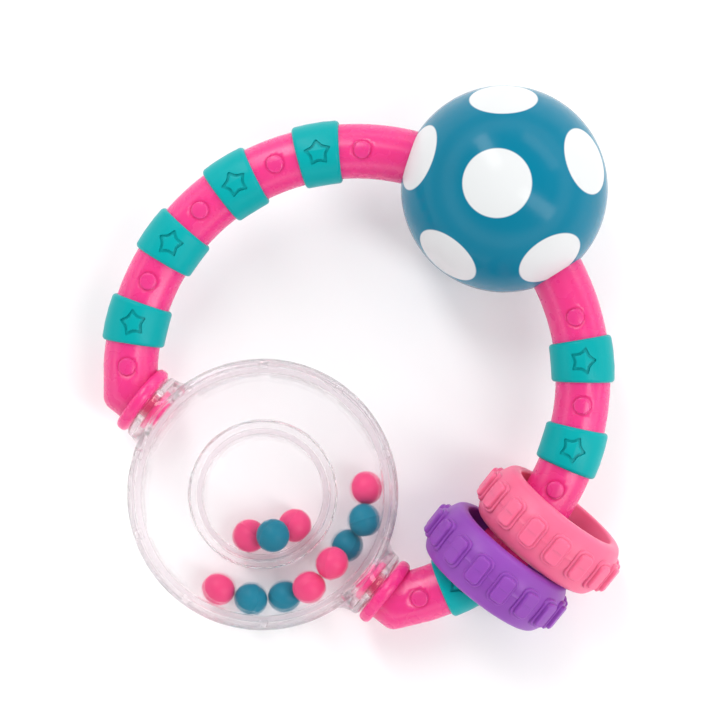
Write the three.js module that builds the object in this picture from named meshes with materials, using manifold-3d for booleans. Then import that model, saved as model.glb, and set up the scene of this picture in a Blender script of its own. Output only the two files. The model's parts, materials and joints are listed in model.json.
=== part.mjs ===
// Baby rattle: a C-shaped handle ring with soft grip bands, a polka-dot ball clamped on its
// crown, a clear bead drum that spins between the two handle ends, and two loose toothed
// rings threaded on the handle.
//
// Millimetres, +Z up. The rattle lies as it rests on a table: the drum flat on its back face
// and the handle tipped up onto the ball. +X runs along the drum's spin axis and +Y from the
// drum towards the ball. The origin is the middle of the footprint, on the table.

import * as THREE from 'three';
import { mergeVertices } from 'three/addons/utils/BufferGeometryUtils.js';
import Module from 'manifold-3d';

const wasm = await Module();
wasm.setup();

// ------------------------------------------------------------------ driving dimensions, mm
const GAP = 0.3;                  // clearance between pieces that touch on the real rattle

const RING_R = 59;                // handle ring, radius of the tube's centreline
const TUBE_R = 7.1;               // handle tube, outside
const TUBE_WALL = 2;
const NUB_R = 2.2;                // low round nubs along both faces of the handle
const NUB_HEIGHT = 0.45;
const NUB_OFF_BALL = 11.2;        // along the tube, from the ball to the first nub
const NUB_OFF_CORNER = 6.35;      // and from the last nub to the handle's corner

const BAND_WIDTH = 11.1;          // soft grip bands moulded round the tube
const BAND_WALL = 1.15;
const BAND_ROUND = 0.4;
const BAND_PLAY = 0.1;            // the straight sleeve's least clearance on the curved tube
const BAND_COUNT = 4;             // on each side of the ball, one between every two nubs
const STAR_R = 3.5;               // raised star on both faces of each band
const STAR_WAIST = 0.58;          // inner corners, as a share of the star's radius
const STAR_HEIGHT = 0.45;

const BALL_R = 26.8;
const BALL_WALL = 2.2;
const BALL_BEYOND = 3.4;          // ball centre, outside the tube's centreline

const DRUM_R = 34.8;              // clear bead drum
const DRUM_DEPTH = 28;
const DRUM_FACE = 2.2;            // thickness of its round faces
const DRUM_SKIRT = 1.8;           // outer wall
const DRUM_LIP = 1.6;             // bead track wall, nested inside the skirt
const DRUM_EDGE = 1.6;            // rounding of the rim

const TRACK_WIDTH = 14.2;         // bead track, between its wall and the inner chamber's
const CHAMBER_WALL = 1.5;
const SOCKET_WALL = 1.6;          // short collar on the front face, round the chamber wall
const SOCKET_DEPTH = 6;

const BEAD_R = 4.2;

const COLLAR_R = 9.4;             // clear collars that hold the pivots
const COLLAR_REACH = 3.6;         // past the drum's rim
const COLLAR_WALL = 2;            // end wall, behind the pivot's head
const COLLAR_FLARE = 2.2;         // widening where the collar meets the rim
const COLLAR_CHAMFER = 1.2;

const FLANGE_R = 9.5;             // pivot plugs: flange, spigot, mushroom head and stem
const FLANGE_WIDTH = 3.2;
const FLANGE_ROUND = 1;
const HEAD_R = 5.85;
const HEAD_WIDTH = 3;
const SPIGOT_R = 3.4;
const SPIGOT_PLAY = 0.4;          // round the spigot and the head, so the drum spins freely
const STEM_DEPTH = 3.2;
const NECK_LEAD = 2.4;            // from the flange to the corner where the handle turns

const HOOP_PLAY = 5.55;           // loose rings: bore clearance over the grip bands
const HOOP_SECTION = 5.9;         // from bore to tread
const HOOP_WIDTH = 15.2;
const HOOP_LAND = 5.3;            // width of the bore's narrow middle
const HOOP_FLARE = 0.8;           // the bore widens from there to both faces
const HOOP_LEAN = 6;              // degrees that the ball-side face looks upwards
const LUG_COUNT = 16;
const LUG_LENGTH = 7.2;           // across the tread
const LUG_WIDTH = 3.5;
const LUG_HEIGHT = 1.3;
const PINK_AHEAD = 0.4;           // pink ring's middle, from the ring centre towards the ball
const HOOP_OFF_DRUM = 5;          // least room between the drum's rim and a loose ring

// The beads as they lie in the drum, each touching the one before: [paint, bead radii above
// the back face, bead radii in from the wall].
const TRACK_START = -77.5;        // degrees round the drum, from +X, of the first bead
const TRACK_BEADS = [
  ['pink', 0, 0], ['blue', 0.15, 0], ['blue', 0, 0.05], ['pink', 1.3, 0.07],
  ['pink', 1.65, 0.45], ['blue', 0.15, 0.4], ['blue', 1.05, 0], ['pink', 0.5, 0],
];
const CHAMBER_START = -72;
const CHAMBER_BEADS = [['pink', 0, 0.02], ['blue', 1.45, 0.1], ['pink', 0, 0]];

const RING_STEPS = 36;            // straight lengths along the handle ring
const ROUND = 20;                 // sides of a small turned piece
const BAND_ROUNDS = 18;           // sides of a grip band
const WIDE_ROUND = 40;            // sides of the drum

// ------------------------------------------------------------------ derived sizes and places
const rad = THREE.MathUtils.degToRad;

const halfDepth = DRUM_DEPTH / 2;
const faceInner = halfDepth - DRUM_FACE;
const skirtInner = DRUM_R - DRUM_SKIRT;
const lipOuter = skirtInner - GAP;
const trackR = lipOuter - DRUM_LIP;
const chamberR = trackR - TRACK_WIDTH - CHAMBER_WALL;
const collarEnd = DRUM_R + COLLAR_REACH;
const pocketEnd = collarEnd - COLLAR_WALL;
const headOuter = pocketEnd - SPIGOT_PLAY;
const flangeInner = collarEnd + GAP;
const flangeOuter = flangeInner + FLANGE_WIDTH;
const cornerX = flangeOuter + NECK_LEAD;
const ringY = Math.sqrt(RING_R ** 2 - cornerX ** 2);
const cornerAngle = Math.atan2(-ringY, cornerX);
const ballY = ringY + RING_R + BALL_BEYOND;
const tilt = Math.asin((BALL_R - halfDepth) / ballY);

// Along the ring, in degrees from the ball: where the tube leaves it, the first nub, and the
// pitch of the nubs and bands.
const deg = THREE.MathUtils.radToDeg;
const ballReach = RING_R + BALL_BEYOND;
const ballEdge = deg(Math.acos(
  (RING_R ** 2 + ballReach ** 2 - BALL_R ** 2) / (2 * RING_R * ballReach),
));
const firstNub = ballEdge + deg(NUB_OFF_BALL / RING_R);
const lastNub = 90 - deg(cornerAngle) - deg(NUB_OFF_CORNER / RING_R);
const nubPitch = (lastNub - firstNub) / BAND_COUNT;

const bandR = TUBE_R + BAND_WALL;
const bandSag = BAND_WIDTH ** 2 / (8 * (RING_R - TUBE_R));
const tubeSag = RING_R * (1 - Math.cos((Math.PI / 2 - cornerAngle) / RING_STEPS));
const bandBore = (TUBE_R + BAND_PLAY + bandSag + tubeSag) / Math.cos(Math.PI / BAND_ROUNDS);
const bandRound = Math.min(BAND_ROUND, 0.8 * (bandR - bandBore));
const hoopBore = bandR + HOOP_PLAY;
const treadR = hoopBore + HOOP_SECTION;
const lugR = treadR + LUG_HEIGHT;
const hoopLean = rad(HOOP_LEAN);

// ------------------------------------------------------------------ helpers
function solid(geometry) {
  const bare = geometry.clone();
  bare.deleteAttribute('normal');
  bare.deleteAttribute('uv');
  const merged = mergeVertices(bare, 1e-4);
  const corners = merged.index.array;
  const triangles = [];
  for (let i = 0; i < corners.length; i += 3) {
    const [a, b, c] = corners.subarray(i, i + 3);
    if (a !== b && b !== c && c !== a) triangles.push(a, b, c);
  }
  const build = (list) => new wasm.Manifold(new wasm.Mesh({
    numProp: 3,
    vertProperties: new Float32Array(merged.attributes.position.array),
    triVerts: new Uint32Array(list),
  }));
  const shape = build(triangles);
  return shape.volume() > 0 ? shape : build(triangles.reverse());
}

function surface(shape) {
  const { vertProperties, triVerts } = shape.getMesh();
  const geometry = new THREE.BufferGeometry();
  geometry.setAttribute('position', new THREE.BufferAttribute(vertProperties, 3));
  geometry.setIndex(new THREE.BufferAttribute(triVerts, 1));
  geometry.computeVertexNormals();
  return geometry;
}

function piece(name, shape, material) {
  const mesh = new THREE.Mesh(surface(shape), material);
  mesh.name = name;
  return mesh;
}

// A solid of revolution from [radius, height] points, turned round Z.
function turned(points, sides = ROUND) {
  const profile = points.map(([r, h]) => new THREE.Vector2(r, h));
  return solid(new THREE.LatheGeometry(profile, sides).rotateX(Math.PI / 2));
}

// The same, with its axis along +X.
function turnedAlongX(points, sides = ROUND) {
  return turned(points, sides).rotate([0, 90, 0]);
}

// A closed ring of revolution: its profile doesn't reach the axis, so it ends where it began.
function turnedHoop(points, sides) {
  return turned([...points, points[0]], sides);
}

function ball(radius, sides, rings) {
  return solid(new THREE.SphereGeometry(radius, sides, rings));
}

function block(sizeX, sizeY, sizeZ) {
  return solid(new THREE.BoxGeometry(sizeX, sizeY, sizeZ));
}

function disc(radius, height, sides = ROUND) {
  return solid(new THREE.CylinderGeometry(radius, radius, height, sides).rotateX(Math.PI / 2));
}

// The part of a shape in front of (+1) or behind (-1) its parting plane, z = 0.
function half(shape, side) {
  const reach = 3 * (ballY + BALL_R);
  const keep = block(reach, reach, reach).translate([0, 0, side * (reach + GAP) / 2]);
  return shape.intersect(keep);
}

// ------------------------------------------------------------------ materials
function plastic(color, roughness) {
  return new THREE.MeshStandardMaterial({ color, roughness, metalness: 0 });
}

const HOT_PINK = plastic('#ee4b92', 0.38);
const TEAL = plastic('#08bdbf', 0.5);
const BALL_BLUE = plastic('#0b84a8', 0.3);
const CLEAR = new THREE.MeshStandardMaterial({
  color: '#eef0f2', roughness: 0.06, metalness: 0, transparent: true, opacity: 0.3,
});
const BEAD_PAINT = { pink: plastic('#e84a86', 0.4), blue: plastic('#0a7d9d', 0.4) };
const SOFT_PINK = plastic('#fb7da6', 0.45);
const PURPLE = plastic('#9450b4', 0.45);

// ------------------------------------------------------------------ handle
class RingArc extends THREE.Curve {
  getPoint(t, target = new THREE.Vector3()) {
    const angle = THREE.MathUtils.lerp(cornerAngle, Math.PI - cornerAngle, t);
    return target.set(RING_R * Math.cos(angle), ringY + RING_R * Math.sin(angle), 0);
  }
}

// A round rod along the C of the handle, with its two corners and the short necks that meet
// the pivot flanges.
function handleRod(radius, sides) {
  const circle = Array.from({ length: sides }, (_, i) => {
    const angle = 2 * Math.PI * (i + 0.5) / sides;
    return new THREE.Vector2(radius * Math.cos(angle), radius * Math.sin(angle));
  });
  const options = { steps: RING_STEPS, extrudePath: new RingArc(), curveSegments: 1 };
  let rod = solid(new THREE.ExtrudeGeometry(new THREE.Shape(circle), options));
  for (const side of [-1, 1]) {
    const neck = turnedAlongX([[0, 0], [radius, 0], [radius, NECK_LEAD], [0, NECK_LEAD]], sides);
    const corner = ball(radius, sides, sides / 2).translate([side * cornerX, 0, 0]);
    const start = side > 0 ? flangeOuter : -cornerX;
    rod = rod.add(corner).add(neck.translate([start, 0, 0]));
  }
  return rod;
}

function handleShell(side) {
  const neckGap = block(2 * (flangeOuter + GAP), 3 * TUBE_R, 3 * TUBE_R);
  const tube = handleRod(TUBE_R, 16).subtract(handleRod(TUBE_R - TUBE_WALL, 12));
  let shell = half(tube.subtract(neckGap), side);
  const rise = TUBE_R + NUB_HEIGHT - TUBE_WALL / 2;
  const nub = turned([
    [0, rise - TUBE_WALL / 2], [NUB_R, rise - TUBE_WALL / 2],
    [NUB_R, TUBE_R], [NUB_R - NUB_HEIGHT, TUBE_R + NUB_HEIGHT], [0, TUBE_R + NUB_HEIGHT],
  ], 10);
  for (const turn of [-1, 1]) {
    for (let i = 0; i <= BAND_COUNT; i++) {
      const angle = rad(90 + turn * (firstNub + i * nubPitch));
      const placed = (side > 0 ? nub : nub.rotate([180, 0, 0])).translate([
        RING_R * Math.cos(angle), ringY + RING_R * Math.sin(angle), 0,
      ]);
      shell = shell.add(placed);
    }
  }
  return shell;
}

// ------------------------------------------------------------------ grip bands
function starPrism() {
  const corners = Array.from({ length: 10 }, (_, i) => {
    const radius = i % 2 ? STAR_R * STAR_WAIST : STAR_R;
    const angle = Math.PI * i / 5;
    return new THREE.Vector2(radius * Math.cos(angle), radius * Math.sin(angle));
  });
  const height = 2 * (bandR + STAR_HEIGHT);
  const options = { depth: height, bevelEnabled: false };
  const prism = new THREE.ExtrudeGeometry(new THREE.Shape(corners), options);
  return solid(prism.translate(0, 0, -height / 2));
}

// One band about its own tube axis, +Y, with a star tip towards +X, away from the ring's middle.
function gripBand() {
  const edge = BAND_WIDTH / 2;
  const sleeve = turnedHoop([
    [bandBore, -edge], [bandR - bandRound, -edge], [bandR, bandRound - edge],
    [bandR, edge - bandRound], [bandR - bandRound, edge], [bandBore, edge],
  ], BAND_ROUNDS);
  const starR = bandR + STAR_HEIGHT;
  const raised = disc(starR, BAND_WIDTH, 24).subtract(disc(bandR - BAND_WALL / 2, BAND_WIDTH, 24));
  return sleeve.add(starPrism().rotate([-90, 0, 0]).intersect(raised)).rotate([90, 0, 0]);
}

// ------------------------------------------------------------------ pivots
// A turned plug on +X: mushroom head in the drum's collar, spigot, flange and stem.
function pivotPlug() {
  const headInner = headOuter - HEAD_WIDTH;
  return turnedAlongX([
    [0, headInner], [HEAD_R - 2, headInner + 0.2], [HEAD_R - 0.5, headInner + 0.8],
    [HEAD_R, headInner + 1.6], [HEAD_R, headOuter], [SPIGOT_R, headOuter],
    [SPIGOT_R, flangeInner], [FLANGE_R - FLANGE_ROUND, flangeInner],
    [FLANGE_R, flangeInner + FLANGE_ROUND], [FLANGE_R, flangeOuter - FLANGE_ROUND],
    [FLANGE_R - FLANGE_ROUND, flangeOuter],
    [TUBE_R - TUBE_WALL - 2 * GAP, flangeOuter],
    [TUBE_R - TUBE_WALL - 2 * GAP, flangeOuter + STEM_DEPTH], [0, flangeOuter + STEM_DEPTH],
  ]);
}

// ------------------------------------------------------------------ ball
function ballShell(side) {
  const shell = ball(BALL_R, 32, 18).subtract(ball(BALL_R - BALL_WALL, 20, 12));
  return half(shell.translate([0, ballY, 0]).subtract(handleRod(TUBE_R + GAP, 16)), side);
}

// ------------------------------------------------------------------ drum
// Both collars, solid, along X through the drum.
function collars() {
  const flareEnd = DRUM_R + COLLAR_REACH / 4;
  const root = trackR + DRUM_LIP / 2;
  const collar = turnedAlongX([
    [0, root], [COLLAR_R + COLLAR_FLARE, root], [COLLAR_R, flareEnd],
    [COLLAR_R, collarEnd - COLLAR_CHAMFER], [COLLAR_R - COLLAR_CHAMFER, collarEnd],
    [0, collarEnd],
  ]);
  return collar.add(collar.rotate([0, 0, 180]));
}

// The room inside both collars: a pocket for each mushroom head, and the spigot's hole.
function pivotRooms() {
  const pocketR = HEAD_R + 2 * SPIGOT_PLAY;
  const room = turnedAlongX([
    [0, 0], [pocketR, 0], [pocketR, pocketEnd], [SPIGOT_R + SPIGOT_PLAY, pocketEnd],
    [SPIGOT_R + SPIGOT_PLAY, collarEnd + 1], [0, collarEnd + 1],
  ]);
  const inside = disc(lipOuter + GAP / 2, DRUM_DEPTH, WIDE_ROUND);
  return room.add(room.rotate([0, 0, 180])).subtract(inside);
}

function drumFrontShell() {
  const socketInner = chamberR + CHAMBER_WALL + GAP;
  const socketOuter = socketInner + SOCKET_WALL;
  const cup = turned([
    [0, faceInner], [socketInner, faceInner], [socketInner, faceInner - SOCKET_DEPTH],
    [socketOuter, faceInner - SOCKET_DEPTH], [socketOuter, faceInner],
    [skirtInner, faceInner], [skirtInner, 0], [DRUM_R, 0], [DRUM_R, halfDepth - DRUM_EDGE],
    [DRUM_R - DRUM_EDGE * 0.3, halfDepth - DRUM_EDGE * 0.3], [DRUM_R - DRUM_EDGE, halfDepth],
    [0, halfDepth],
  ], WIDE_ROUND);
  const inside = disc(skirtInner + DRUM_SKIRT / 2, 2 * faceInner, WIDE_ROUND);
  return half(cup.add(collars().subtract(inside)).subtract(pivotRooms()), 1);
}

// A round wall standing on the drum's back face, up to just under the front one.
function standingWall(inner, outer) {
  const foot = -faceInner - DRUM_FACE / 2;
  const top = faceInner - GAP;
  return turnedHoop([[inner, foot], [outer, foot], [outer, top], [inner, top]], WIDE_ROUND);
}

function drumBackShell() {
  const rimInner = trackR + DRUM_LIP / 2;
  const tub = turned([
    [0, -halfDepth], [DRUM_R - DRUM_EDGE, -halfDepth],
    [DRUM_R - DRUM_EDGE * 0.3, DRUM_EDGE * 0.3 - halfDepth], [DRUM_R, DRUM_EDGE - halfDepth],
    [DRUM_R, 0], [rimInner, 0], [rimInner, -faceInner], [0, -faceInner],
  ], WIDE_ROUND);
  const inside = disc(skirtInner + DRUM_SKIRT / 2, 2 * faceInner, WIDE_ROUND);
  const shell = half(tub.add(collars().subtract(inside)).subtract(pivotRooms()), -1);
  const chamberWall = standingWall(chamberR, chamberR + CHAMBER_WALL);
  return shell.add(standingWall(trackR, lipOuter)).add(chamberWall);
}

// ------------------------------------------------------------------ loose rings
// A toothed hoop about Z: a tyre-shaped body with a flared bore and lugs round its tread.
function toothedHoop() {
  const edge = HOOP_WIDTH / 2;
  const shoulder = treadR - 1.5;
  let hoop = turnedHoop([
    [hoopBore + HOOP_FLARE, -edge], [hoopBore, -HOOP_LAND / 2], [hoopBore, HOOP_LAND / 2],
    [hoopBore + HOOP_FLARE, edge], [shoulder - 2, edge - 0.2], [shoulder, edge - 1],
    [treadR - 0.2, edge - 2.6], [treadR, 0], [treadR - 0.2, 2.6 - edge],
    [shoulder, 1 - edge], [shoulder - 2, 0.2 - edge],
  ], 2 * LUG_COUNT);
  const lug = block(2 * LUG_HEIGHT + 1, LUG_WIDTH, LUG_LENGTH);
  for (let i = 0; i < LUG_COUNT; i++) {
    const turn = 360 * (i + 0.5) / LUG_COUNT;
    hoop = hoop.add(lug.translate([lugR - LUG_HEIGHT - 0.5, 0, 0]).rotate([0, 0, turn]));
  }
  return hoop;
}

// A loose ring stands on the table round the tube: it is lifted until its lugs clear the
// table, or its bore meets the tube, and lies outwards as far as the bands let its bore go,
// at each station along the bore and all round the inner side of the tube.
function placeHoop(mesh, alongY) {
  const reach = lugR * Math.cos(hoopLean + tilt) + LUG_LENGTH / 2 * Math.sin(hoopLean + tilt);
  const tubeHeight = halfDepth + alongY * Math.sin(tilt);
  const mostLift = HOOP_PLAY - GAP - STAR_HEIGHT;
  const lift = THREE.MathUtils.clamp((reach - tubeHeight) / Math.cos(tilt), 0, mostLift);
  let boreX = Infinity;
  for (const along of [-HOOP_WIDTH / 2, -HOOP_LAND / 2, 0, HOOP_LAND / 2, HOOP_WIDTH / 2]) {
    const boreR = hoopBore - GAP + (Math.abs(along) > HOOP_LAND / 2 ? HOOP_FLARE : 0);
    const tubeX = Math.sqrt(RING_R ** 2 - (alongY + along - ringY) ** 2);
    const slantedR = bandR * RING_R / tubeX;
    for (let turn = 0; turn <= 90; turn += 5) {
      const below = bandR * Math.sin(rad(turn)) + lift + along * Math.sin(hoopLean);
      const bore = Math.sqrt(Math.max(0, boreR ** 2 - below ** 2));
      boreX = Math.min(boreX, tubeX - slantedR * Math.cos(rad(turn)) + bore);
    }
  }
  mesh.position.set(boreX, alongY, lift);
  mesh.rotation.x = hoopLean - Math.PI / 2;
}

// ------------------------------------------------------------------ assembly
const handle = new THREE.Group();
handle.rotation.x = tilt;
handle.position.z = halfDepth;

handle.add(piece('handle_front_shell', handleShell(1), HOT_PINK));
handle.add(piece('handle_back_shell', handleShell(-1), HOT_PINK));

const band = gripBand();
for (const [sideName, turn] of [['left', 1], ['right', -1]]) {
  for (let i = 0; i < BAND_COUNT; i++) {
    const mesh = piece(`grip_band_${sideName}_${i + 1}`, band, TEAL);
    const angle = rad(90 + turn * (firstNub + (i + 0.5) * nubPitch));
    mesh.position.set(RING_R * Math.cos(angle), ringY + RING_R * Math.sin(angle), 0);
    mesh.rotation.z = angle;
    handle.add(mesh);
  }
}

const plug = pivotPlug();
handle.add(piece('pivot_plug_right', plug, HOT_PINK));
handle.add(piece('pivot_plug_left', plug.rotate([0, 0, 180]), HOT_PINK));

handle.add(piece('ball_front_shell', ballShell(1), BALL_BLUE));
handle.add(piece('ball_back_shell', ballShell(-1), BALL_BLUE));

const pinkHoop = piece('loose_ring_pink', toothedHoop(), SOFT_PINK);
const purpleHoop = piece('loose_ring_purple', toothedHoop(), PURPLE);
const hoopPitch = (HOOP_WIDTH + GAP) * Math.cos(tilt) / Math.cos(hoopLean + tilt);
const pastDrum = Math.sqrt(Math.max(0, (DRUM_R + HOOP_OFF_DRUM) ** 2 - (RING_R - lugR) ** 2));
const pinkY = Math.max(ringY + PINK_AHEAD, pastDrum + HOOP_WIDTH / 2 + hoopPitch);
const purpleY = pinkY - hoopPitch;
placeHoop(pinkHoop, pinkY);
placeHoop(purpleHoop, purpleY);
handle.add(pinkHoop, purpleHoop);

const drum = new THREE.Group();
drum.position.z = halfDepth;
drum.add(piece('drum_front_shell', drumFrontShell(), CLEAR));
drum.add(piece('drum_back_shell', drumBackShell(), CLEAR));

const bead = ball(BEAD_R, 10, 7);
function addBeads(place, beads, wallR, startAngle) {
  const count = {};
  let angle = rad(startAngle);
  let last = null;
  for (const [paint, raised, inset] of beads) {
    count[paint] = (count[paint] ?? 0) + 1;
    const mesh = piece(`${place}_bead_${paint}_${count[paint]}`, bead, BEAD_PAINT[paint]);
    const radius = wallR * Math.cos(Math.PI / WIDE_ROUND) - BEAD_R - GAP / 2 - inset * BEAD_R;
    const height = BEAD_R + GAP - faceInner + raised * BEAD_R;
    if (last) {
      const apart = (2 * BEAD_R + GAP) ** 2 - (height - last.height) ** 2;
      const across = radius ** 2 + last.radius ** 2 - apart;
      angle += Math.acos(across / (2 * radius * last.radius));
    }
    mesh.position.set(radius * Math.cos(angle), radius * Math.sin(angle), height);
    drum.add(mesh);
    last = { radius, height };
  }
}
addBeads('track', TRACK_BEADS, trackR, TRACK_START);
addBeads('chamber', CHAMBER_BEADS, chamberR, CHAMBER_START);

const rattle = new THREE.Group();
rattle.add(handle, drum);
rattle.updateMatrixWorld(true);

const bounds = new THREE.Box3().setFromObject(rattle, true);
const footprint = bounds.getCenter(new THREE.Vector3()).setZ(bounds.min.z);
for (const group of [handle, drum]) group.position.sub(footprint);
rattle.updateMatrixWorld(true);

export default rattle;
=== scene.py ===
# %% [markdown]
# # A ring rattle, finished in Blender
# The rattle is a C-shaped grip ring with soft bands, a dotted ball on its crown, a clear drum of
# beads that spins between the ring's two ends, and two loose toothed rings. The CAD model fixes
# every size and place. Here each plain CAD solid gives way to a finely shaped piece with a real
# finish. We start by loading the CAD frame.

# %% Load the frame
import json
import math

import bmesh
import bpy
from mathutils import Matrix, Vector


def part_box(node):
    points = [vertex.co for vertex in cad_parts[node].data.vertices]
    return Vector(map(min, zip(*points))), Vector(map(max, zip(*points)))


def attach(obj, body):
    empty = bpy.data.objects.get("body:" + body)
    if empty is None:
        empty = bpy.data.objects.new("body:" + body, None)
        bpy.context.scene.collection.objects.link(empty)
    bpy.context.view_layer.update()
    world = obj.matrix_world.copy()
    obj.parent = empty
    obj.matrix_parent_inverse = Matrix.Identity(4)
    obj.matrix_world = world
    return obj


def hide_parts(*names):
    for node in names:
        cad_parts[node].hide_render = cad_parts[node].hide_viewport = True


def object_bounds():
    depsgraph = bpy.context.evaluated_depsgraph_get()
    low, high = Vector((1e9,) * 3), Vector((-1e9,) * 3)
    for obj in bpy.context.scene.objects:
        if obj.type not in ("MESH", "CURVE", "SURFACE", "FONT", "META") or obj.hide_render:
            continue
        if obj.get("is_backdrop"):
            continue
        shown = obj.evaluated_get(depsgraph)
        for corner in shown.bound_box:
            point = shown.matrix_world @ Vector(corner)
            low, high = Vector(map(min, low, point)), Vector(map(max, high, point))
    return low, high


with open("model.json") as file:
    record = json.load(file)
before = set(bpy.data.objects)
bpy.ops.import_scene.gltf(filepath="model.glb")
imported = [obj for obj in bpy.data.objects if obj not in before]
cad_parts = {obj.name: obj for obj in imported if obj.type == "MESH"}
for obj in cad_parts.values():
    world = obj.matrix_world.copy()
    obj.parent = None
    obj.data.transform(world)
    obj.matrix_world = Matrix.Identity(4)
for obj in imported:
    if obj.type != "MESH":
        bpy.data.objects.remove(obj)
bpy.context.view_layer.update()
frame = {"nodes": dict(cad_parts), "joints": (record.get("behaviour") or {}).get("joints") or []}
MM = 0.001

# %% [markdown]
# The pieces are modelled in millimetres, each in a frame that suits it, and then carried to
# their place. The drum's frame has its middle in the drum's and the row's own axes. The
# handle's frame shares that middle, but leans back: X is the drum's spin axis, Y runs to the
# ball, and Z stands square on the ring. The joint that lets the loose rings slide turns about
# the middle of the ring, so the joint tells us where that is and how the ring leans.

# %% Find the middles and the two frames
def span(*nodes):
    corners = [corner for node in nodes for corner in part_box(node)]
    low = Vector([min(corner[i] for corner in corners) for i in range(3)])
    high = Vector([max(corner[i] for corner in corners) for i in range(3)])
    return low, high


drum_low, drum_high = span("drum_front_shell", "drum_back_shell")
drum_middle = (drum_low + drum_high) / 2
joints = {joint["name"]: joint for joint in frame["joints"]}
ring_middle = Vector(joints["purple_ring_slide"]["pos_m"])
face_way = Vector(joints["purple_ring_slide"]["axis"]).normalized()
spin_way = Vector((1, 0, 0))
ball_way = face_way.cross(spin_way)

millimetres = Matrix.Scale(MM, 4)
drum_place = Matrix.Translation(drum_middle) @ millimetres
handle_place = Matrix((spin_way, ball_way, face_way)).transposed().to_4x4()
handle_place.translation = drum_middle
handle_place = handle_place @ millimetres
RING_Y = (ring_middle - drum_middle).dot(ball_way) / MM
ring_place = handle_place @ Matrix.Translation((0, RING_Y, 0))
print("middle of the ring from the drum's, mm:", round(RING_Y, 2))

# %% [markdown]
# ## Camera, floor and light
# We look almost straight down on the rattle from three quarters of a metre, as over a table,
# with a long lens that keeps the circles round. The camera is rolled so that the ball comes
# out at the upper right.

# %% Set the camera
AIM = Vector((-10.8, -2.8, 14)) * MM
EYE = Vector((13.4, -56.4, 730)) * MM
CAMERA_ROLL = math.radians(38.4)

camera = bpy.data.objects.new("camera", bpy.data.cameras.new("camera"))
camera.data.lens = 137
camera.data.sensor_width = 36
camera.data.clip_start = 0.01
look = (AIM - EYE).normalized()
level = look.cross(Vector((0, 1, 0))).normalized()
right = math.cos(CAMERA_ROLL) * level + math.sin(CAMERA_ROLL) * level.cross(look)
camera.matrix_world = Matrix((right, right.cross(look), -look)).transposed().to_4x4()
camera.matrix_world.translation = EYE
bpy.context.scene.collection.objects.link(camera)
bpy.context.scene.camera = camera
print("camera to rattle, m:", round((AIM - EYE).length, 3))

# %% [markdown]
# A clear plastic drum shows whatever is round it, so the surroundings are part of its finish.
# The floor is a pale sheet, and the room is a light tent: brightest in a band a third of the
# way up, dimmer overhead. On a tube that band gives a long soft streak down each flank, while
# the dim ceiling keeps the colours deep where they face the camera. Soft boxes beside the
# camera add the rest.

# %% Lay the floor and hang the lights
def socket_set(node, **values):
    for name, value in values.items():
        node.inputs[name.replace("_", " ")].default_value = value


def flat_material(name, colour, roughness):
    material = bpy.data.materials.new(name)
    material.use_nodes = True
    shader = material.node_tree.nodes["Principled BSDF"]
    socket_set(shader, Base_Color=(*colour, 1), Roughness=roughness)
    return material


FLOOR_DROP = 0.12
FLOOR_SIZE = 3.0
sheet = bmesh.new()
bmesh.ops.create_grid(sheet, x_segments=1, y_segments=1, size=FLOOR_SIZE)
bmesh.ops.translate(sheet, verts=sheet.verts, vec=(0, 0, -FLOOR_DROP * MM))
floor_mesh = bpy.data.meshes.new("floor")
sheet.to_mesh(floor_mesh)
floor = bpy.data.objects.new("floor", floor_mesh)
floor.data.materials.append(flat_material("pale_floor", (0.97, 0.97, 0.97), 0.9))
bpy.context.scene.collection.objects.link(floor)
floor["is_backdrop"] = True

# Brightness of the room by height: the horizon is 0 and the ceiling over the camera is 1.
ROOM = ((0.0, 0.7), (0.2, 0.85), (0.28, 1.9), (0.44, 1.9), (0.58, 0.5), (1.0, 0.36))
world = bpy.data.worlds.new("pale_room")
world.use_nodes = True
room = world.node_tree
room_way = room.nodes.new("ShaderNodeTexCoord")
height = room.nodes.new("ShaderNodeSeparateXYZ")
room.links.new(room_way.outputs["Generated"], height.inputs[0])
bands = room.nodes.new("ShaderNodeValToRGB")
while len(bands.color_ramp.elements) < len(ROOM):
    bands.color_ramp.elements.new(0.5)
for stop, (up, brightness) in zip(bands.color_ramp.elements, ROOM):
    stop.position, stop.color = up, (brightness, brightness, brightness, 1)
room.links.new(height.outputs["Z"], bands.inputs[0])
room.links.new(bands.outputs["Color"], room.nodes["Background"].inputs["Color"])
bpy.context.scene.world = world
bpy.context.scene.view_settings.view_transform = "Standard"


def soft_box(name, place, width, height, watts):
    lamp = bpy.data.lights.new(name, "AREA")
    lamp.shape = "RECTANGLE"
    lamp.size, lamp.size_y, lamp.energy = width, height, watts
    box = bpy.data.objects.new(name, lamp)
    box.location = Vector(place)
    box.rotation_mode = "QUATERNION"
    box.rotation_quaternion = (AIM - box.location).to_track_quat("-Z", "Y")
    bpy.context.scene.collection.objects.link(box)


soft_box("soft_box_left", (-0.75, 0.35, 0.95), 0.28, 0.95, 6)
soft_box("soft_box_right", (0.72, 0.1, 0.9), 0.28, 0.95, 5)
soft_box("soft_box_far", (0.1, 0.95, 0.7), 0.9, 0.25, 2)

# %% [markdown]
# ## Finishes
# Moulded plastic is never one flat colour. The tint drifts a little where the melt flowed, the
# gloss is uneven, and a faint orange peel breaks up the highlights. One function builds all of
# that from noise on Object coordinates, so that it holds still on the piece. Soft grades let
# light in under the skin, which is what makes a bright pink glow instead of looking painted.

# %% A moulded plastic finish
NOISE_LOW, NOISE_HIGH = 0.3, 0.7     # nearly all of a noise texture lies between these


def noise(tree, scale, detail=2.0):
    place = tree.nodes.new("ShaderNodeTexCoord")
    node = tree.nodes.new("ShaderNodeTexNoise")
    socket_set(node, Scale=scale, Detail=detail)
    tree.links.new(place.outputs["Object"], node.inputs["Vector"])
    return node.outputs["Fac"]


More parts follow.
